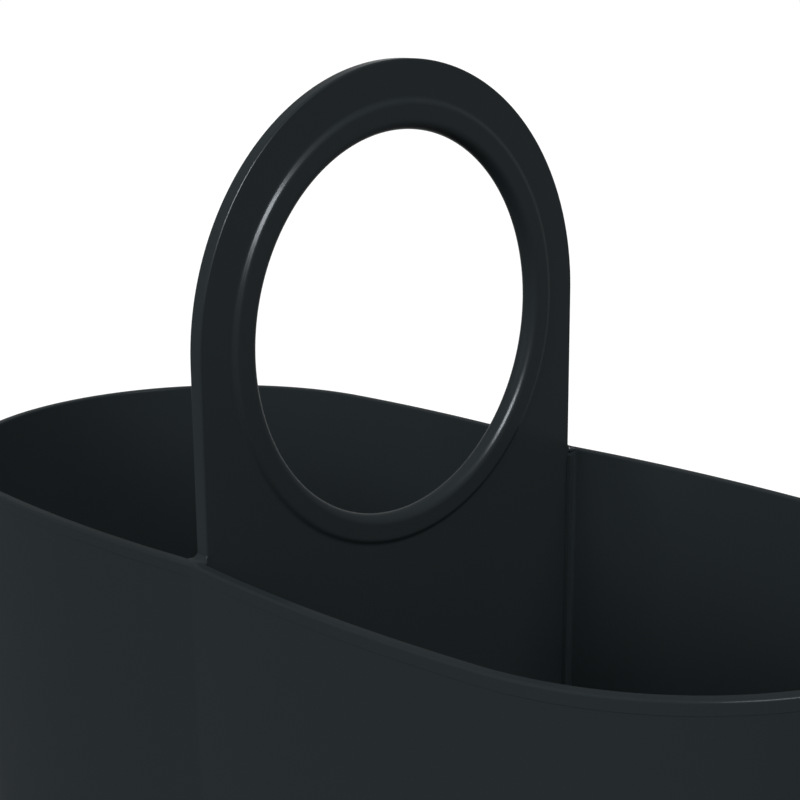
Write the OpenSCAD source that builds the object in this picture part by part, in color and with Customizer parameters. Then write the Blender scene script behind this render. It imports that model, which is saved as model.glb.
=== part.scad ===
// Two-compartment tool caddy: a lobed tub, and one upright panel that is both
// its divider and its carrying handle, held down by screws from below.
// Millimetres, +Z up, origin on the table under the middle of the tub.

/* [Tub] */
// Height of the tub, from the table to its rim
tub_height = 120; // [90:1:160]
// Outer radius of the round ends at the rim
end_radius = 76.5; // [65:0.5:90]
// Distance from the middle to the centre of each round end
end_offset = 88; // [75:1:110]
// Radius of the bowed long walls at the rim
side_radius = 440; // [360:5:600]
// Distance from the middle to where the long walls are widest
bow_offset = 50; // [40:1:60]
// Thickness of the walls
wall = 3; // [2.4:0.1:4]
// How far the walls lean in from the rim down to the table
draft = 1.5; // [0.5:0.1:4]
// Thickness of the floor
floor_thickness = 3; // [2:0.1:5]
// Outer radius where the walls turn into the floor
base_radius = 9; // [6:0.5:14]
// Radius of the rim's inner edge
lip_inner_radius = 0.5; // [0.2:0.1:1]
// Width of the flat left between the rim's two rounded edges
lip_flat = 0.1; // [0.1:0.1:1]

/* [Foot rim] */
// Height of the foot rim that the tub stands on
foot_height = 4; // [3.5:0.1:6]
// Width of the foot rim
foot_width = 3; // [2:0.1:5]
// Distance from the outer wall to the foot rim
foot_inset = 14; // [12:0.5:20]

/* [Divider and handle] */
// Thickness of the panel
panel_thickness = 4; // [3:0.1:6]
// Half the width of the handle, which is the radius of its arch
handle_half = 71.6; // [64:0.2:72]
// Height of the arch's centre above the rim
arch_rise = 49.8; // [35:0.2:80]
// Radius of the hand hole
hole_radius = 52.9; // [40:0.1:56]
// Width of the raised band that edges the hand hole
band_width = 9; // [7:0.5:10]
// How far the band stands up from each face of the panel
band_rise = 0.8; // [0.3:0.1:1.5]
// Width of the slope at the band's outer edge
band_slope = 2.4; // [1.5:0.1:4]
// Radius of the panel's long edges
edge_radius = 0.8; // [0.3:0.1:1.2]
// Radius of the flare where the handle lands on the rim
flare_radius = 3; // [1.5:0.1:4]

/* [Guides and screws] */
// Clearance between the panel and the guides it slides into
fit = 0.2; // [0.1:0.05:0.4]
// Thickness of the guide ribs
rib_thickness = 1.6; // [1.2:0.1:3]
// How far the guide ribs stand out from the wall
rib_depth = 2; // [1:0.1:4]
// Height of the ribs along the floor
floor_rib_height = 5; // [3:0.5:10]
// Number of screws that hold the panel down
screw_count = 3; // [2:1:4]
// Distance between the outermost screws
screw_span = 96; // [60:2:110]
// Diameter of the screw shanks
screw_diameter = 4; // [3:0.1:4]
// Length of the screws under the head
screw_length = 16; // [12:1:20]
// Diameter of the screw heads
head_diameter = 8; // [7:0.1:10]
// Height of the screw heads
head_height = 2.8; // [2:0.1:3.2]
// Wall round each screw in the panel's bosses
boss_wall = 2.4; // [2:0.1:4]

/* [Hidden] */
$fn = 120;

bite = 0.5;             // how deep joined solids reach into each other
slack = 0.05;           // running clearance round a screw
thin = 0.1;             // thickness left at the flares' outer edges
plastic = [0.13, 0.15, 0.155];
steel = [0.72, 0.73, 0.75];

// Plan of one lobe: the end arc runs tangent into the two long arcs.
bow_drop = sqrt(pow(side_radius - end_radius, 2) - pow(end_offset - bow_offset, 2));
meet_angle = atan2(bow_drop, end_offset - bow_offset);
waist = sqrt(pow(side_radius, 2) - pow(bow_offset, 2)) - bow_drop;
widest = side_radius - bow_drop;
bow_sweep = acos(-bow_offset / (side_radius - widest)) - meet_angle + 1;

// Wall section: outer face, floor and the arcs between them.
lean = atan(draft / tub_height);
floor_top = foot_height + floor_thickness;
cavity_radius = base_radius - wall;
lip_radius = wall - lip_inner_radius - lip_flat;
function face(z) = draft * (1 - z / tub_height);
function arc(centre, r, from, to, steps) =
    [for (i = [0 : steps]) let (a = from + (to - from) * i / steps) centre + r * [cos(a), sin(a)]];
// Centre of an arc of radius r that touches the leaning face at depth d and the level z
function corner(d, z, r) = [d + face(z + r) + r / cos(lean), z + r];

// Divider: half its width at height z, inside the walls.
function divider_half(z) = waist - wall - face(z) - fit;
arch_z = tub_height + arch_rise;
boss_radius = screw_diameter / 2 + boss_wall;
boss_height = screw_length - floor_thickness + boss_wall;
screw_places = [for (i = [0 : screw_count - 1]) (i / (screw_count - 1) - 0.5) * screw_span];

// ---- tub ----

// A slice through wall and floor, as (distance in from the rim's outer line, height)
function tub_section(depth) = let (crown = tub_height - lip_radius, inner_crown = tub_height - lip_inner_radius) concat(
    arc([face(crown) + lip_radius, crown], lip_radius, 180, 90, 8),
    arc([wall - lip_inner_radius, inner_crown], lip_inner_radius, 90, 0, 4),
    arc(corner(wall, floor_top, cavity_radius), cavity_radius, 180 + lean, 270, 10),
    [[depth, floor_top], [depth, foot_height]],
    foot_points(foot_width / 5),
    arc(corner(0, foot_height, base_radius), base_radius, 270, 180 + lean, 12)
);

function foot_points(chamfer) = [for (p = [
    [foot_width, foot_height], [foot_width, chamfer], [foot_width - chamfer, 0],
    [chamfer, 0], [0, chamfer], [0, foot_height]
]) p + [foot_inset, 0]];

// Sweeps the section round an arc of radius r that starts at the place of this frame
module sweep(r, depth, angle) {
    translate([-r, 0, 0]) rotate_extrude(angle = angle, $fn = 240)
        polygon([for (p = tub_section(depth)) [r - p[0], p[1]]]);
}

// A quarter of the tub: both arcs start from the one plane where they are tangent
module quarter_tub() {
    intersection() {
        translate([end_offset, 0, 0]) rotate([0, 0, meet_angle]) translate([end_radius, 0, 0]) {
            mirror([0, 1, 0]) sweep(end_radius, end_radius, meet_angle + 1);
            sweep(side_radius, widest + 1, bow_sweep);
        }
        translate([0, 0, -1]) cube([end_offset + end_radius + 1, widest + 1, tub_height + 2]);
    }
}

module four_ways() {
    for (x = [0, 1], y = [0, 1]) mirror([x, 0, 0]) mirror([0, y, 0]) children();
}

// Stands a flat (y, z) shape upright across the tub, centred on x
module upright(thickness) {
    rotate([90, 0, 90]) linear_extrude(thickness, center = true) children();
}

module guide_ribs() {
    rib_x = panel_thickness / 2 + fit + rib_thickness / 2;
    for (x = [-rib_x, rib_x], side = [0, 1]) mirror([0, side, 0]) translate([x, 0, 0])
        upright(rib_thickness) polygon([
            [divider_half(floor_top) - rib_depth, floor_top - bite],
            [divider_half(floor_top) + fit + wall / 2, floor_top - bite],
            [divider_half(tub_height) + fit + wall / 2, tub_height - lip_inner_radius],
            [divider_half(tub_height) - rib_depth, tub_height - lip_inner_radius]
        ]);
    difference() {
        for (x = [-rib_x, rib_x]) translate([x, 0, 0])
            upright(rib_thickness) translate([-divider_half(0) + rib_depth, floor_top - bite])
                square([2 * (divider_half(0) - rib_depth), floor_rib_height + bite]);
        for (y = screw_places) translate([0, y, 0]) cylinder(r = boss_radius + fit, h = tub_height);
    }
}

module tub() {
    color(plastic) difference() {
        union() {
            four_ways() quarter_tub();
            guide_ribs();
        }
        for (y = screw_places) translate([0, y, 0]) cylinder(d = screw_diameter + 2 * slack, h = floor_top + 1);
    }
}

// ---- divider_handle ----

module arch_section() {
    inner = hole_radius + band_width / 2;
    translate([inner, -panel_thickness / 2]) square([handle_half - edge_radius - inner, panel_thickness]);
    translate([inner, edge_radius - panel_thickness / 2])
        square([handle_half - inner, panel_thickness - 2 * edge_radius]);
    for (side = [-1, 1])
        translate([handle_half - edge_radius, side * (panel_thickness / 2 - edge_radius)]) circle(edge_radius, $fn = 32);
}

// The band's inner edge is fully rounded, and its outer edge runs down to the panel in two arcs
module band_section() {
    rise = panel_thickness / 2 + band_rise;
    steepest = 2 * atan(band_rise / band_slope);
    turn = band_slope / 2 / sin(steepest);
    foot = hole_radius + band_width;
    for (side = [0, 1]) mirror([0, side]) polygon(concat(
        arc([hole_radius + rise, 0], rise, 180, 90, 20),
        arc([foot - band_slope, rise - turn], turn, 90, 90 - steepest, 6),
        arc([foot, panel_thickness / 2 + turn], turn, 270 - steepest, 270, 6),
        [[foot, 0]]
    ));
}

module ring(angle) {
    translate([0, 0, arch_z]) rotate([90, 0, 90]) rotate_extrude(angle = angle, $fn = 240) children();
}

module slab_section(half) {
    for (side = [-1, 1], face_side = [-1, 1])
        translate([face_side * (panel_thickness / 2 - edge_radius), side * (half - edge_radius)]) circle(edge_radius, $fn = 32);
    square([panel_thickness, 2 * (half - edge_radius)], center = true);
    square([panel_thickness - 2 * edge_radius, 2 * half], center = true);
}

module divider_outline() {
    low = floor_top + cavity_radius;
    for (side = [-1, 1]) scale([side, 1]) {
        translate([divider_half(low) - cavity_radius, low]) circle(cavity_radius);
        polygon([
            [0, floor_top], [divider_half(low) - cavity_radius, floor_top], [divider_half(low) - cavity_radius, low],
            [divider_half(low), low], [divider_half(tub_height), tub_height], [0, tub_height]
        ]);
    }
}

// A foot that spreads on to the rim with a hollow flare on three sides
module flare() {
    length = 2 * (panel_thickness / 2 + flare_radius);
    rise = flare_radius + thin;
    for (side = [0, 1]) mirror([0, side, 0]) intersection() {
        upright(length * 2) difference() {
            translate([handle_half - flare_radius, tub_height]) square([flare_radius * 2, rise]);
            translate([handle_half + flare_radius, tub_height + rise]) circle(flare_radius);
        }
        translate([0, handle_half, tub_height]) rotate([90, 0, 0])
            linear_extrude(flare_radius * 4, center = true) difference() {
                translate([-length / 2, -rise]) square([length, rise * 3]);
                for (x = [-length / 2, length / 2]) translate([x, rise]) circle(flare_radius);
            }
    }
}

module divider_handle() {
    color(plastic) difference() {
        union() {
            difference() {
                union() {
                    ring(180) arch_section();
                    translate([0, 0, tub_height - bite]) linear_extrude(arch_rise + bite) slab_section(handle_half);
                    upright(panel_thickness) divider_outline();
                    flare();
                }
                translate([0, 0, arch_z]) rotate([0, 90, 0])
                    cylinder(r = hole_radius + band_width / 2, h = panel_thickness * 2, center = true, $fn = 240);
            }
            ring(360) band_section();
            for (y = screw_places) translate([0, y, floor_top]) cylinder(r = boss_radius, h = boss_height);
        }
        for (y = screw_places) translate([0, y, floor_top - 1])
            cylinder(d = screw_diameter + 2 * slack, h = screw_length - floor_thickness + 2);
    }
}

// ---- divider_screws ----

module screw() {
    rotate_extrude() polygon([
        [0, 0], [head_diameter / 2 - head_height / 3, 0], [head_diameter / 2, head_height / 2],
        [head_diameter / 2, head_height], [screw_diameter / 2, head_height],
        [screw_diameter / 2, head_height + screw_length - screw_diameter / 2],
        [screw_diameter / 8, head_height + screw_length], [0, head_height + screw_length]
    ]);
}

module divider_screws() {
    color(steel) for (y = screw_places) translate([0, y, foot_height - head_height]) screw();
}

tub();
divider_handle();
divider_screws();
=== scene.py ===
import math
import bmesh
import bpy
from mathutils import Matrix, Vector


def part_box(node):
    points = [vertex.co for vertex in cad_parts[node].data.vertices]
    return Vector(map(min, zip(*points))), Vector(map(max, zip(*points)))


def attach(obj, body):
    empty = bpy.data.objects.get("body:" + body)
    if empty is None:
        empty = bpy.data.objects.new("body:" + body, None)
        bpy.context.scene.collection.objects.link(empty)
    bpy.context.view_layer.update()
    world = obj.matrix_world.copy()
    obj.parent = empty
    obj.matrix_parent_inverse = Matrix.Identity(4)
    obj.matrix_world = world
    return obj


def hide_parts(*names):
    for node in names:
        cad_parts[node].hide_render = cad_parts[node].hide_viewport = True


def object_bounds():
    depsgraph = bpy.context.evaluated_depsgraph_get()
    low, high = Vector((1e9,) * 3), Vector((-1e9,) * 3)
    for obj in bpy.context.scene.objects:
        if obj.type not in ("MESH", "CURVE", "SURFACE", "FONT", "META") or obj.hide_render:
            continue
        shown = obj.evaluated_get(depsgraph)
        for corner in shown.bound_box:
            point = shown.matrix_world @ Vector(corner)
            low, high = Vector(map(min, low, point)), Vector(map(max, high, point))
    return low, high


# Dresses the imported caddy: moulded shell, handle panel and screws in fine mesh,
# with dark moulded plastic, zinc-plated screws and a pale studio.

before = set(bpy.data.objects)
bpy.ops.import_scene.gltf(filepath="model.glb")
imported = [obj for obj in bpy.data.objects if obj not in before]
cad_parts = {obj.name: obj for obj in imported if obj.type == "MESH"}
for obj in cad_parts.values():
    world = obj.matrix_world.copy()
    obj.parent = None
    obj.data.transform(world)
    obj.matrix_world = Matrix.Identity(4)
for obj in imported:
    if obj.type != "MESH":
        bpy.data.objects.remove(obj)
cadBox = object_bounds()
mm = 0.001
print("frame loaded")

# camera and studio

camera = {
    "spot": (319.9 * mm, -323.3 * mm, 262.4 * mm),
    "turn": 44.72, "tilt": 14.07, "roll": -0.43,        # degrees
    "lens": 76.17, "sensor": 36,
}

studio = {
    "floorReach": 8.0,
    "floorColor": (0.24, 0.24, 0.24),
    "floorLift": 0.87,          # added for the eye and reflections, so that shadows on it stay
    "ambient": 0.225,
}

# aim is the way from the caddy to the lamp, level its light on a white card that faces it
softLamps = {
    "frontSoftLight": {"aim": (0.06, -0.90, 0.43), "level": 0.46, "softness": 34},
    "rightSoftLight": {"aim": (0.66, 0.04, 0.75), "level": 0.45, "softness": 40},
    "lowSoftLight": {"aim": (-0.45, -0.87, 0.17), "level": 0.14, "softness": 20},
}
# seen in gloss only, for the streaks along the rounded edges
streakLamp = {
    "aim": (0.852, -0.172, 0.478), "far": 1.6, "size": (0.70, 0.42), "roll": -38,
    "color": (0.88, 0.94, 1.0), "watts": 620.0,
}


def addCamera():
    data = bpy.data.cameras.new("viewCamera")
    data.sensor_width = camera["sensor"]
    data.lens = camera["lens"]
    data.clip_start = 0.01
    data.clip_end = 50
    holder = bpy.data.objects.new("viewCamera", data)
    holder.location = camera["spot"]
    holder.rotation_euler = (math.radians(90 - camera["tilt"]), 0, math.radians(camera["turn"]))
    holder.rotation_euler.rotate_axis("Z", math.radians(camera["roll"]))
    bpy.context.scene.collection.objects.link(holder)
    bpy.context.scene.camera = holder


def addLamp(name, kind, aim, far=1.0):
    data = bpy.data.lights.new(name, kind)
    aim = Vector(aim).normalized()
    holder = bpy.data.objects.new(name, data)
    holder.location = Vector((0, 0, cadBox[1].z / 2)) + aim * far
    holder.rotation_euler = aim.to_track_quat("Z", "Y").to_euler()
    bpy.context.scene.collection.objects.link(holder)
    return holder


def addLamps():
    for name, lamp in softLamps.items():
        data = addLamp(name, "SUN", lamp["aim"]).data
        data.energy = lamp["level"] * math.pi
        data.angle = math.radians(lamp["softness"])
    streak = addLamp("streakLamp", "AREA", streakLamp["aim"], streakLamp["far"])
    streak.data.shape = "RECTANGLE"
    streak.data.size, streak.data.size_y = streakLamp["size"]
    streak.data.color = streakLamp["color"]
    streak.data.energy = streakLamp["watts"]
    streak.rotation_euler.rotate_axis("Z", math.radians(streakLamp["roll"]))
    streak.visible_diffuse = False


def seenDirectly(nodes, links):
    # 1 where the camera looks straight, through or by a reflection, otherwise 0
    path = nodes.new("ShaderNodeLightPath")
    first = nodes.new("ShaderNodeMath")
    both = nodes.new("ShaderNodeMath")
    both.use_clamp = True
    links.new(path.outputs["Is Camera Ray"], first.inputs[0])
    links.new(path.outputs["Is Glossy Ray"], first.inputs[1])
    links.new(first.outputs["Value"], both.inputs[0])
    links.new(path.outputs["Is Transmission Ray"], both.inputs[1])
    return both.outputs["Value"]


def addWorld():
    world = bpy.data.worlds.new("paleRoom")
    world.use_nodes = True
    bpy.context.scene.world = world
    nodes, links = world.node_tree.nodes, world.node_tree.links
    nodes.clear()
    white = nodes.new("ShaderNodeMix")
    white.inputs["A"].default_value = studio["ambient"]
    white.inputs["B"].default_value = 1.0
    glow = nodes.new("ShaderNodeBackground")
    glow.inputs["Color"].default_value = (1, 1, 1, 1)
    out = nodes.new("ShaderNodeOutputWorld")
    links.new(seenDirectly(nodes, links), white.inputs["Factor"])
    links.new(white.outputs["Result"], glow.inputs["Strength"])
    links.new(glow.outputs["Background"], out.inputs["Surface"])


def addFloor():
    reach = studio["floorReach"]
    mesh = bpy.data.meshes.new("floor")
    corners = [(-reach, -reach, 0), (reach, -reach, 0), (reach, reach, 0), (-reach, reach, 0)]
    mesh.from_pydata(corners, [], [(0, 1, 2, 3)])
    floor = bpy.data.objects.new("floor", mesh)
    bpy.context.scene.collection.objects.link(floor)
    paint = bpy.data.materials.new("paleFloor")
    paint.use_nodes = True
    nodes, links = paint.node_tree.nodes, paint.node_tree.links
    nodes.clear()
    matt = nodes.new("ShaderNodeBsdfDiffuse")
    matt.inputs["Color"].default_value = (*studio["floorColor"], 1)
    lift = nodes.new("ShaderNodeMath")
    lift.operation = "MULTIPLY"
    lift.inputs[1].default_value = studio["floorLift"]
    glow = nodes.new("ShaderNodeEmission")
    both = nodes.new("ShaderNodeAddShader")
    out = nodes.new("ShaderNodeOutputMaterial")
    links.new(seenDirectly(nodes, links), lift.inputs[0])
    links.new(lift.outputs["Value"], glow.inputs["Strength"])
    links.new(matt.outputs["BSDF"], both.inputs[0])
    links.new(glow.outputs["Emission"], both.inputs[1])
    links.new(both.outputs["Shader"], out.inputs["Surface"])
    mesh.materials.append(paint)


# mesh helpers

def skinRows(bm, rows, closeRound=True, closeOver=False):
    # rows of points become a sheet of quads
    # closeRound joins each row's ends, closeOver the last row to the first
    grid = [[bm.verts.new(p) for p in row] for row in rows]
    last = len(grid) if closeOver else len(grid) - 1
    for j in range(last):
        a, b = grid[j], grid[(j + 1) % len(grid)]
        steps = len(a) if closeRound else len(a) - 1
        for i in range(steps):
            k = (i + 1) % len(a)
            bm.faces.new((a[i], a[k], b[k], b[i]))
    return grid


def skinBar(bm, rows):
    # a skin with both ends shut
    grid = skinRows(bm, rows)
    bm.faces.new(grid[0])
    bm.faces.new(grid[-1])


def makePiece(name, build, paint, smoothAngle=35):
    bm = bmesh.new()
    build(bm)
    bmesh.ops.recalc_face_normals(bm, faces=bm.faces)
    for edge in bm.edges:
        edge.smooth = not edge.is_manifold or edge.calc_face_angle(0) < math.radians(smoothAngle)
    for face in bm.faces:
        face.smooth = True
    mesh = bpy.data.meshes.new(name)
    bm.to_mesh(mesh)
    bm.free()
    mesh.materials.append(paint)
    piece = bpy.data.objects.new(name, mesh)
    bpy.context.scene.collection.objects.link(piece)
    steady = piece.modifiers.new("steadyNormals", "WEIGHTED_NORMAL")
    steady.keep_sharp = True
    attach(piece, "root")
    return piece


def arc(centre, r, start, end, steps):
    turn = [math.radians(start + (end - start) * i / steps) for i in range(steps + 1)]
    return [(centre[0] + r * math.cos(a), centre[1] + r * math.sin(a)) for a in turn]


def circle(count):
    return [math.tau * i / count for i in range(count)]


def between(a, b, steps):
    # the points after a, up to and with b
    return [tuple(p + (q - p) * i / steps for p, q in zip(a, b)) for i in range(1, steps + 1)]


# tub

tub = {
    "endRadius": 76.5 * mm, "sideRadius": 440 * mm, "bowOffset": 50 * mm,       # the plan line
    "creaseSoftness": 0.9 * mm,
    "wall": 3 * mm, "draft": 1.5 * mm, "leastDraft": 0.02,      # share of the draft left at the rim
    "floorThickness": 3 * mm, "baseRadius": 9 * mm,
    "lipRadius": 0.8 * mm, "lipInnerRadius": 0.5 * mm,
    "partingDepth": 3.4 * mm, "partingStep": 0.10 * mm,
    "footHeight": 4 * mm, "footWidth": 3 * mm, "footInset": 14 * mm, "footRounding": 0.7 * mm,
    "sideSteps": 44, "endSteps": 56, "waistCrowding": 3.6,      # more stations near the crease
    "insideRows": 10, "outsideRows": 14, "cornerRows": 12, "baseRows": 14,
    "lipRows": 12, "lipInnerRows": 6, "footRootRows": 4, "footEdgeRows": 5,
    "rowByLip": 0.6 * mm, "rowByFoot": 0.8 * mm,        # these rows keep the wall's shading even
    "floorRings": (62, 40, 22, 13), "underRings": (26, 44, 62),         # mm in from the rim's line
}
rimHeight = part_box("tub")[1].z
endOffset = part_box("tub")[1].x - tub["endRadius"]
arcGap = tub["sideRadius"] - tub["endRadius"]
bowDrop = math.sqrt(arcGap ** 2 - (endOffset - tub["bowOffset"]) ** 2)
meetAngle = math.atan2(bowDrop, endOffset - tub["bowOffset"])
waist = math.sqrt(tub["sideRadius"] ** 2 - tub["bowOffset"] ** 2) - bowDrop
floorTop = tub["footHeight"] + tub["floorThickness"]
innerCorner = tub["baseRadius"] - tub["wall"]
lean = math.atan(tub["draft"] / rimHeight)


def wallFace(z):
    # how far the draft has moved the wall in at height z
    return tub["draft"] * max(1 - z / rimHeight, tub["leastDraft"])


def wallY(x, depth):
    # how far from the middle line the long wall's surface is
    soft = math.hypot(x, tub["creaseSoftness"])
    return math.sqrt((tub["sideRadius"] - depth) ** 2 - (soft - tub["bowOffset"]) ** 2) - bowDrop


def planLoop(depth, z):
    # the plan line at a depth in from the rim's outer line, as points at height z
    endRadius, crowd = tub["endRadius"] - depth, tub["waistCrowding"]
    meetX = endOffset + endRadius * math.cos(meetAngle)
    quarter = []
    for i in range(tub["sideSteps"]):
        x = meetX * math.sinh(crowd * i / tub["sideSteps"]) / math.sinh(crowd)
        quarter.append((x, min(wallY(x, depth), cadBox[1].y)))
    quarter += arc((endOffset, 0), endRadius, math.degrees(meetAngle), 0, tub["endSteps"])
    right = quarter + [(x, -y) for x, y in reversed(quarter[:-1])]
    left = [(-x, y) for x, y in reversed(right[1:-1])]
    return [(x, y, z) for x, y in right + left]


def cornerArc(depth, z, r, start, end, steps):
    # rounding from a floor at height z into the leaning wall
    centre = (depth + wallFace(z + r) + r / math.cos(lean), z + r)
    return arc(centre, r, start, end, steps)


def tubSection():
    # from the middle of the floor, up inside, over the lip, down outside and under to the foot rim
    crown = rimHeight - tub["lipRadius"]
    innerCrown = rimHeight - tub["lipInnerRadius"]
    parting = rimHeight - tub["partingDepth"]
    upright = 180 + math.degrees(lean)
    points = [(depth * mm, floorTop) for depth in tub["floorRings"]]
    points += cornerArc(tub["wall"], floorTop, innerCorner, 270, upright, tub["cornerRows"])
    underLip = (tub["wall"] + wallFace(innerCrown), innerCrown - tub["rowByLip"])
    points += between(points[-1], underLip, tub["insideRows"])
    soft = tub["lipInnerRadius"]
    points += arc((tub["wall"] - soft, innerCrown), soft, 0, 90, tub["lipInnerRows"])
    soft = tub["lipRadius"]
    points += arc((wallFace(crown) + soft, crown), soft, 90, 180, tub["lipRows"])
    step = tub["partingStep"]
    points += [(wallFace(parting), parting), (wallFace(parting) + step, parting - step)]
    base = cornerArc(step, tub["footHeight"], tub["baseRadius"], upright, 270, tub["baseRows"])
    overFoot = (base[0][0], base[0][1] + tub["rowByFoot"])
    points += between(points[-1], overFoot, tub["outsideRows"]) + base
    inset, width, soft = tub["footInset"], tub["footWidth"], tub["footRounding"]
    under, root, edge = tub["footHeight"], tub["footRootRows"], tub["footEdgeRows"]
    points += [(inset - soft, under)]
    points += arc((inset - soft, under - soft), soft, 90, 0, root)[1:]
    points += arc((inset + soft, soft), soft, 180, 270, edge)
    points += arc((inset + width - soft, soft), soft, 270, 360, edge)
    points += arc((inset + width + soft, under - soft), soft, 180, 90, root)
    return points + [(depth * mm, under) for depth in tub["underRings"]]


def bridgeHalves(bm, loop):
    # closes a flat loop straight across the middle line, station by station
    count = len(loop)
    half = count // 2
    quarter = tub["sideSteps"] + tub["endSteps"]
    for start in (0, half):
        near = [loop[(start + i) % count] for i in range(quarter + 1)]
        far = [loop[(start + half - i) % count] for i in range(quarter + 1)]
        for i in range(quarter - 1):
            bm.faces.new((near[i], near[i + 1], far[i + 1], far[i]))
        bm.faces.new((near[quarter - 1], near[quarter], far[quarter - 1]))


def buildTub(bm):
    # the last and first loops close the floor below and above
    grid = skinRows(bm, [planLoop(depth, z) for depth, z in tubSection()])
    for loop in (grid[0], grid[-1]):
        bridgeHalves(bm, loop)


# guide ribs

panelThickness = 4 * mm
fit = 0.2 * mm
guideRib = {
    "thickness": 1.6 * mm, "depth": 2 * mm, "gap": fit / 8, "noseRounding": 0.15 * mm,
    "rootFlare": 0.8 * mm, "rootSunk": 0.8 * mm,        # spreads on the wall, and reaches into it
    "underRim": 0.8 * mm, "topFall": 0.5,               # the top slants down to the nose
    "heights": (1.2, 1.8, 2.5, 3.3, 4.2, 5.1, 6.0, 20, 40, 60, 80, 100),        # mm over the floor
    "leastDepth": 0.05 * mm, "noseSteps": 4, "rootTurns": (0, 30, 60, 90),      # degrees
}
ribMiddle = panelThickness / 2 + guideRib["gap"] + guideRib["thickness"] / 2


def guideRibSection(root, tip):
    # as (across, out from the middle line); root is where the wall's surface is, tip the nose
    half, soft, flare = guideRib["thickness"] / 2, guideRib["noseRounding"], guideRib["rootFlare"]
    nose = arc((half - soft, tip + soft), soft, 0, -90, guideRib["noseSteps"])
    turns = [math.radians(t) for t in guideRib["rootTurns"]]
    foot = [(half + flare - flare * math.sin(t), root - flare + flare * math.cos(t)) for t in turns]
    side = [(half + flare, root + guideRib["rootSunk"])] + foot + nose
    return side + [(-x, y) for x, y in reversed(side)]


def guideRibRows(acrossSign, wallSign):
    rows = []
    top = rimHeight - guideRib["underRim"]
    for z in [floorTop + h * mm for h in guideRib["heights"]] + [top]:
        straight = wallY(ribMiddle, tub["wall"] + wallFace(z))
        tip = straight - guideRib["depth"]
        low = max(floorTop + innerCorner - z, 0)        # below the top of the wall's inner corner
        root = straight - innerCorner + math.sqrt(innerCorner ** 2 - low ** 2)
        root = max(root, tip + guideRib["leastDepth"])
        fall = guideRib["topFall"] if z == top else 0
        rows.append([(acrossSign * ribMiddle + x, wallSign * y, z - fall * (root - y))
                     for x, y in guideRibSection(root, tip)])
    return rows


def buildGuideRibs(bm):
    for acrossSign in (-1, 1):
        for wallSign in (-1, 1):
            skinBar(bm, guideRibRows(acrossSign, wallSign))


floorRib = {
    "height": 5 * mm, "cornerGap": 4 * mm, "footFlare": 0.6 * mm, "footSunk": 0.4 * mm,
    "stations": (-1, -0.5, 0, 0.5, 1),          # along it, as shares of its half length
}


def buildFloorRibs(bm):
    reach = waist - tub["wall"] - tub["draft"] - guideRib["depth"] - floorRib["cornerGap"]
    half, soft, flare = guideRib["thickness"] / 2, guideRib["noseRounding"], floorRib["footFlare"]
    crest = floorTop + floorRib["height"] - soft
    for sign in (-1, 1):
        outline = [(half + flare, floorTop), (half, floorTop + flare)]
        outline += arc((half - soft, crest), soft, 0, 90, guideRib["noseSteps"])
        outline += [(-x, z) for x, z in reversed(outline)]
        outline += [(x, floorTop - floorRib["footSunk"]) for x in (-half - flare, half + flare)]
        skinBar(bm, [[(sign * ribMiddle + x, reach * share, z) for x, z in outline]
                     for share in floorRib["stations"]])


# divider and handle

panel = {
    "half": 71.6 * mm, "holeRadius": 52.9 * mm,
    "bandWidth": 9 * mm, "bandRise": 0.8 * mm, "bandSlope": 2.4 * mm,   # raised round the hole
    "edgeRounding": 0.55 * mm,
    "overRim": 0.3 * mm, "underRim": 0.2 * mm,          # where it steps in to pass the walls
    "archSteps": 60, "sideSteps": 26, "dividerSteps": 24, "cornerSteps": 8, "bottomSteps": 26,
    "noseSteps": 14, "crestSteps": 3, "slopeSteps": 6,          # over the band
    "flatSteps": 5, "flatCrowding": 1.3,        # rows over the flat face, closer near the band
    "leastTurn": 0.15,                          # degrees round the hole from point to point
    "edgeTurns": (22.5, 45, 67.5, 90),          # degrees round the rounded edge
}
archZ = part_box("divider_handle")[1].z - panel["half"]
screwPlaces = [-48 * mm, 0.0, 48 * mm]


def dividerHalf(z):
    return waist - tub["wall"] - wallFace(z) - fit


def panelOutline():
    # right half from the top of the arch to the middle of the foot, as (y, z)
    low, corner = floorTop + innerCorner, innerCorner
    points = arc((0, archZ), panel["half"], 90, 0, panel["archSteps"])
    points += between(points[-1], (panel["half"], rimHeight + panel["overRim"]), panel["sideSteps"])
    points += [(dividerHalf(rimHeight), rimHeight - panel["underRim"])]
    points += between(points[-1], (dividerHalf(low), low), panel["dividerSteps"])
    points += arc((dividerHalf(low) - corner, low), corner, 0, -90, panel["cornerSteps"])[1:]
    points += between(points[-1], (0, floorTop), panel["bottomSteps"])
    return points


def outlineNormals(points):
    # unit vectors that point in from the outline
    found = []
    for i in range(len(points)):
        ahead, behind = points[(i + 1) % len(points)], points[i - 1]
        along = Vector((ahead[0] - behind[0], ahead[1] - behind[1])).normalized()
        found.append((along.y, -along.x))
    return found


def bandProfile():
    # from the nose in the hole, over the raised band and down its slope
    # as (distance from the hole's centre, height)
    rise = panelThickness / 2 + panel["bandRise"]
    steepest = 2 * math.atan(panel["bandRise"] / panel["bandSlope"])
    turn = panel["bandSlope"] / 2 / math.sin(steepest)
    foot, tilt = panel["holeRadius"] + panel["bandWidth"], math.degrees(steepest)
    crest = foot - panel["bandSlope"]
    steps = panel["slopeSteps"]
    points = arc((panel["holeRadius"] + rise, 0), rise, 180, 90, panel["noseSteps"])
    points += between(points[-1], (crest, rise), panel["crestSteps"])
    points += arc((crest, rise - turn), turn, 90, 90 - tilt, steps)[1:]
    return points + arc((foot, panelThickness / 2 + turn), turn, 270 - tilt, 270, steps)[1:]


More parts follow.
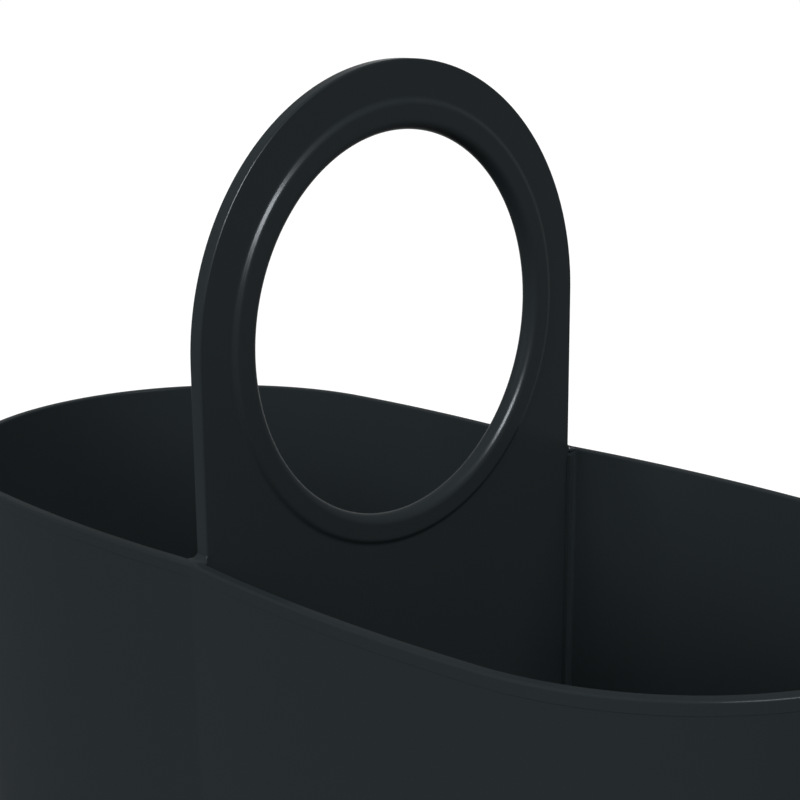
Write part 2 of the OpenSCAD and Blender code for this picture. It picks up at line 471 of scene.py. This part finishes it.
def panelRows():
    half = panelOutline()
    outline = half + [(-y, z) for y, z in reversed(half[1:-1])]
    normals = outlineNormals(outline)
    turns = [math.atan2(z - archZ, y) for y, z in half]
    for i in range(1, len(turns)):
        turns[i] = min(turns[i], turns[i - 1] - math.radians(panel["leastTurn"]))
    turns += [math.pi - a for a in reversed(turns[1:-1])]
    profile = bandProfile()
    rows = [[(x, r * math.cos(a), archZ + r * math.sin(a)) for a in turns] for r, x in profile]
    rim, thick, soft = profile[-1][0], panelThickness / 2, panel["edgeRounding"]
    inset = [(y + n[0] * soft, z + n[1] * soft) for (y, z), n in zip(outline, normals)]
    for k in range(1, panel["flatSteps"] + 1):
        share = (k / panel["flatSteps"]) ** panel["flatCrowding"]
        row = []
        for (y, z), a in zip(inset, turns):
            startY, startZ = rim * math.cos(a), archZ + rim * math.sin(a)
            row.append((thick, startY + (y - startY) * share, startZ + (z - startZ) * share))
        rows.append(row)
    for t in panel["edgeTurns"]:
        s, c = math.sin(math.radians(t)), math.cos(math.radians(t))
        rows.append([(thick - soft + soft * c, y + n[0] * soft * (1 - s), z + n[1] * soft * (1 - s))
                     for (y, z), n in zip(outline, normals)])
    back = [[(-x, y, z) for x, y, z in row] for row in reversed(rows[1:])]
    return rows + back


# the foot on each side that spreads from the panel's edge on to the rim
rimFlare = {
    "height": 2.0 * mm, "width": 3.4 * mm, "sunk": 0.04 * mm,
    "hidden": 0.06 * mm,                # keeps its own sides inside the panel
    "rows": 9, "sideSteps": 3, "turnSteps": 10,
    "easeFrom": 2, "easeOver": 4,       # turn steps over which it grows out of the panel's face
}


def lipHeight(x, y):
    # height of the lip's surface under a point, with a little sunk in
    depth = wallY(abs(x), 0) - abs(y)
    r, inner = tub["lipRadius"], tub["lipInnerRadius"]
    if depth < r:
        drop = r - math.sqrt(max(r * r - (r - max(depth, 0)) ** 2, 0))
    elif depth > tub["wall"] - inner:
        drop = inner - math.sqrt(max(inner ** 2 - min(depth - tub["wall"] + inner, inner) ** 2, 0))
    else:
        drop = 0
    return rimHeight - drop - rimFlare["sunk"]


def flareRing(out):
    # right half of a level outline, from the inner end to the outer edge
    # out is 0 at the flare's top and 1 where it lies on the rim
    soft, hidden, steps = panel["edgeRounding"], rimFlare["hidden"], rimFlare["sideSteps"]
    middle = (panelThickness / 2 - soft, panel["half"] - soft)
    inner = dividerHalf(rimHeight) - guideRib["depth"]
    ring = []
    for t in range(steps):
        ring.append((middle[0] + soft - hidden, inner + (middle[1] - inner) * t / steps))
    steps, width = rimFlare["turnSteps"], rimFlare["width"]
    for i in range(steps + 1):
        a = math.radians(90 * i / steps)
        ease = min(max((i - rimFlare["easeFrom"]) / rimFlare["easeOver"], 0), 1)
        spread = width + (rimFlare["height"] - width) * i / steps
        reach = soft - hidden + out * spread * ease * ease * (3 - 2 * ease)
        ring.append((middle[0] + reach * math.cos(a), middle[1] + reach * math.sin(a)))
    return ring


def buildFlare(bm, sign):
    rows = []
    for k in range(rimFlare["rows"] + 1):
        w = math.radians(90 * k / rimFlare["rows"])
        up = rimFlare["height"] * (1 - math.sin(w))
        ring = flareRing(1 - math.cos(w))
        ring += [(-x, y) for x, y in reversed(ring)]
        rows.append([(x, sign * y, rimHeight + up) for x, y in ring])
    rows.append([(x, y, min(lipHeight(x, y), rimHeight)) for x, y, z in rows[-1]])
    skinBar(bm, rows)


boss = {
    "radius": 4.4 * mm, "height": 15.4 * mm, "draft": 0.15 * mm, "rounding": 1.2 * mm,
    "around": 40, "crownSteps": 5,
}


def buildBoss(bm, y):
    r, soft, crown = boss["radius"], boss["rounding"], floorTop + boss["height"] - boss["rounding"]
    profile = [(r + boss["draft"], floorTop), (r, crown)]
    profile += arc((r - soft, crown), soft, 0, 90, boss["crownSteps"])
    turns = circle(boss["around"])
    skinBar(bm, [[(d * math.cos(a), y + d * math.sin(a), z) for a in turns] for d, z in profile])


def buildPanel(bm):
    skinRows(bm, panelRows(), closeOver=True)
    for sign in (-1, 1):
        buildFlare(bm, sign)
    for y in screwPlaces:
        buildBoss(bm, y)


# screws

screw = {
    "headRadius": 4 * mm, "headHeight": 2.8 * mm, "headRounding": 1.5 * mm, "headEdge": 0.2 * mm,
    "length": 16 * mm, "shankRadius": 1.95 * mm, "coreRadius": 1.45 * mm, "pitch": 1.6 * mm,
    "tipLength": 3 * mm, "tipShare": 0.3, "bluntEnd": 0.3 * mm,
    "slotWidth": 0.9 * mm, "slotReach": 2.3 * mm,
    "slotSteps": ((0.35, 1.5), (0.55, 1.35), (1.0, 0.12)),      # share of its size, mm in
    "rimRadius": 2.75 * mm, "rimDish": 0.02 * mm,
    "around": 48, "threadSteps": 90, "headSteps": 6,
}


def crossReach(a, width, reach):
    # outline of the cross recess: distance from the middle in direction a
    turn = (a + math.pi / 4) % (math.pi / 2) - math.pi / 4
    across, along = abs(math.sin(turn)), math.cos(turn)
    return min(reach / along, width / max(across, 1e-6))


def threadRadius(a, z, end):
    # a sharp ridge over half of the pitch, and bare core between
    phase = (z / screw["pitch"] - a / math.tau) % 1
    ridge = max(0, 1 - abs(phase - 0.5) * 4)
    taper = min(1, (end - z) / screw["tipLength"])
    full = screw["coreRadius"] + (screw["shankRadius"] - screw["coreRadius"]) * ridge
    return full * (screw["tipShare"] + (1 - screw["tipShare"]) * taper)


def buildScrew(bm, y):
    # head down, from the middle of the cross recess round the head and up the thread
    under = tub["footHeight"]
    bottom, end = under - screw["headHeight"], under + screw["length"]
    turns = circle(screw["around"])

    def ring(reach, z):
        return [(d * math.cos(a), y + d * math.sin(a), z) for d, a in zip(reach, turns)]

    def evenRing(r, z):
        return ring([r] * len(turns), z)

    def cross(scale):
        width, reach = screw["slotWidth"] * scale, screw["slotReach"] * scale
        return [crossReach(a, width, reach) for a in turns]

    soft = screw["headRounding"]
    rows = [ring(cross(scale), bottom + deep * mm) for scale, deep in screw["slotSteps"]]
    rows += [evenRing(screw["rimRadius"], bottom + screw["rimDish"])]
    edge = arc((screw["headRadius"] - soft, bottom + soft), soft, 270, 360, screw["headSteps"])
    rows += [evenRing(r, z) for r, z in edge]
    rows += [evenRing(screw["headRadius"], under - screw["headEdge"])]
    rows += [evenRing(screw["headRadius"] - screw["headEdge"], under)]
    rows += [evenRing(screw["shankRadius"], under)]
    for k in range(1, screw["threadSteps"] + 1):
        z = under + (screw["length"] - screw["bluntEnd"]) * k / screw["threadSteps"]
        rows.append(ring([threadRadius(a, z, end) for a in turns], z))
    skinBar(bm, rows)


# materials

plastics = {
    "tubPlastic": {
        "color": (0.0225, 0.0288, 0.0315), "light": (0.0245, 0.0310, 0.0338), "specular": 0.003},
    "handlePlastic": {
        "color": (0.0225, 0.0285, 0.0312), "light": (0.0245, 0.0307, 0.0335), "specular": 0.010},
}
moulded = {
    "roughness": (0.20, 0.30), "ior": 1.49,
    "flowScale": 9.0, "polishScale": 60.0,
    "waveScale": 26.0, "waveHeight": 0.10 * mm,         # long, faint waves
    "peelScale": 900.0, "peelHeight": 0.0045 * mm,      # fine orange peel
}
zinc = {
    "color": (0.48, 0.49, 0.50), "light": (0.60, 0.60, 0.57), "roughness": (0.24, 0.42),
    "flowScale": 260.0, "polishScale": 900.0,
}


def addGroup(name, inputs, outputs):
    # a node group of plain number sockets
    group = bpy.data.node_groups.new(name, "ShaderNodeTree")
    for socket, value in inputs.items():
        made = group.interface.new_socket(socket, in_out="INPUT", socket_type="NodeSocketFloat")
        made.default_value = value
    for socket in outputs:
        group.interface.new_socket(socket, in_out="OUTPUT", socket_type="NodeSocketFloat")
    return group, group.nodes.new("NodeGroupInput"), group.nodes.new("NodeGroupOutput")


def mouldedSkinGroup():
    # the flow marks, polish changes and slight orange peel of a moulded face
    given = {
        "Flow Scale": moulded["flowScale"], "Polish Scale": moulded["polishScale"],
        "Wave Scale": moulded["waveScale"], "Peel Scale": moulded["peelScale"],
        "Peel Share": moulded["peelHeight"] / moulded["waveHeight"],
    }
    group, inside, out = addGroup("mouldedSkin", given, ("Flow", "Polish", "Height"))
    nodes, links = group.nodes, group.links
    place = nodes.new("ShaderNodeTexCoord")

    def noise(scaleSocket, detail, roughness):
        made = nodes.new("ShaderNodeTexNoise")
        made.inputs["Detail"].default_value = detail
        made.inputs["Roughness"].default_value = roughness
        links.new(place.outputs["Object"], made.inputs["Vector"])
        links.new(inside.outputs[scaleSocket], made.inputs["Scale"])
        return made.outputs["Fac"]

    flow = noise("Flow Scale", detail=3, roughness=0.45)
    polish = noise("Polish Scale", detail=5, roughness=0.6)
    wave = noise("Wave Scale", detail=1, roughness=0.3)
    peel = noise("Peel Scale", detail=2, roughness=0.5)
    share = nodes.new("ShaderNodeMath")
    share.operation = "MULTIPLY_ADD"
    links.new(peel, share.inputs[0])
    links.new(inside.outputs["Peel Share"], share.inputs[1])
    links.new(wave, share.inputs[2])
    links.new(flow, out.inputs["Flow"])
    links.new(polish, out.inputs["Polish"])
    links.new(share.outputs["Value"], out.inputs["Height"])
    return group


def markedMaterial(name, skin, look):
    # a Principled surface whose colour and roughness follow the skin's flow and polish
    paint = bpy.data.materials.new(name)
    paint.use_nodes = True
    nodes, links = paint.node_tree.nodes, paint.node_tree.links
    surface = nodes["Principled BSDF"]
    marks = nodes.new("ShaderNodeGroup")
    marks.node_tree = skin
    tone = nodes.new("ShaderNodeMix")
    tone.data_type = "RGBA"
    tone.inputs["A"].default_value = (*look["color"], 1)
    tone.inputs["B"].default_value = (*look["light"], 1)
    gloss = nodes.new("ShaderNodeMapRange")
    gloss.inputs["To Min"].default_value, gloss.inputs["To Max"].default_value = look["roughness"]
    links.new(marks.outputs["Flow"], tone.inputs["Factor"])
    links.new(tone.outputs["Result"], surface.inputs["Base Color"])
    links.new(marks.outputs["Polish"], gloss.inputs["Value"])
    links.new(gloss.outputs["Result"], surface.inputs["Roughness"])
    return paint, surface, marks


def plasticMaterial(name, skin):
    look = {**moulded, **plastics[name]}
    paint, surface, marks = markedMaterial(name, skin, look)
    nodes, links = paint.node_tree.nodes, paint.node_tree.links
    bump = nodes.new("ShaderNodeBump")
    bump.inputs["Distance"].default_value = look["waveHeight"]
    bump.inputs["Strength"].default_value = 1.0
    links.new(marks.outputs["Height"], bump.inputs["Height"])
    links.new(bump.outputs["Normal"], surface.inputs["Normal"])
    surface.inputs["IOR"].default_value = look["ior"]
    surface.inputs["Specular IOR Level"].default_value = look["specular"]
    return paint


def steelMaterial(skin):
    paint, surface, marks = markedMaterial("zincPlatedSteel", skin, zinc)
    surface.inputs["Metallic"].default_value = 1.0
    marks.inputs["Flow Scale"].default_value = zinc["flowScale"]
    marks.inputs["Polish Scale"].default_value = zinc["polishScale"]
    return paint


# put together

addCamera()
addWorld()
addLamps()
addFloor()
print("studio ready")

skinGroup = mouldedSkinGroup()
tubPlastic = plasticMaterial("tubPlastic", skinGroup)
handlePlastic = plasticMaterial("handlePlastic", skinGroup)
steel = steelMaterial(skinGroup)
print("materials ready")

shell = makePiece("tubShell", buildTub, tubPlastic)
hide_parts("tub")
for name, build in (("guideRibs", buildGuideRibs), ("floorRibs", buildFloorRibs)):
    piece = makePiece(name, build, tubPlastic)
print("tub ready")

dividerHandle = makePiece("dividerHandle", buildPanel, handlePlastic)
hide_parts("divider_handle")
print("divider and handle ready")

for number, y in enumerate(screwPlaces, 1):
    piece = makePiece("dividerScrew%d" % number, lambda bm: buildScrew(bm, y), steel)
    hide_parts("divider_screws")
print("screws ready")

bpy.context.scene.view_settings.view_transform = "Standard"
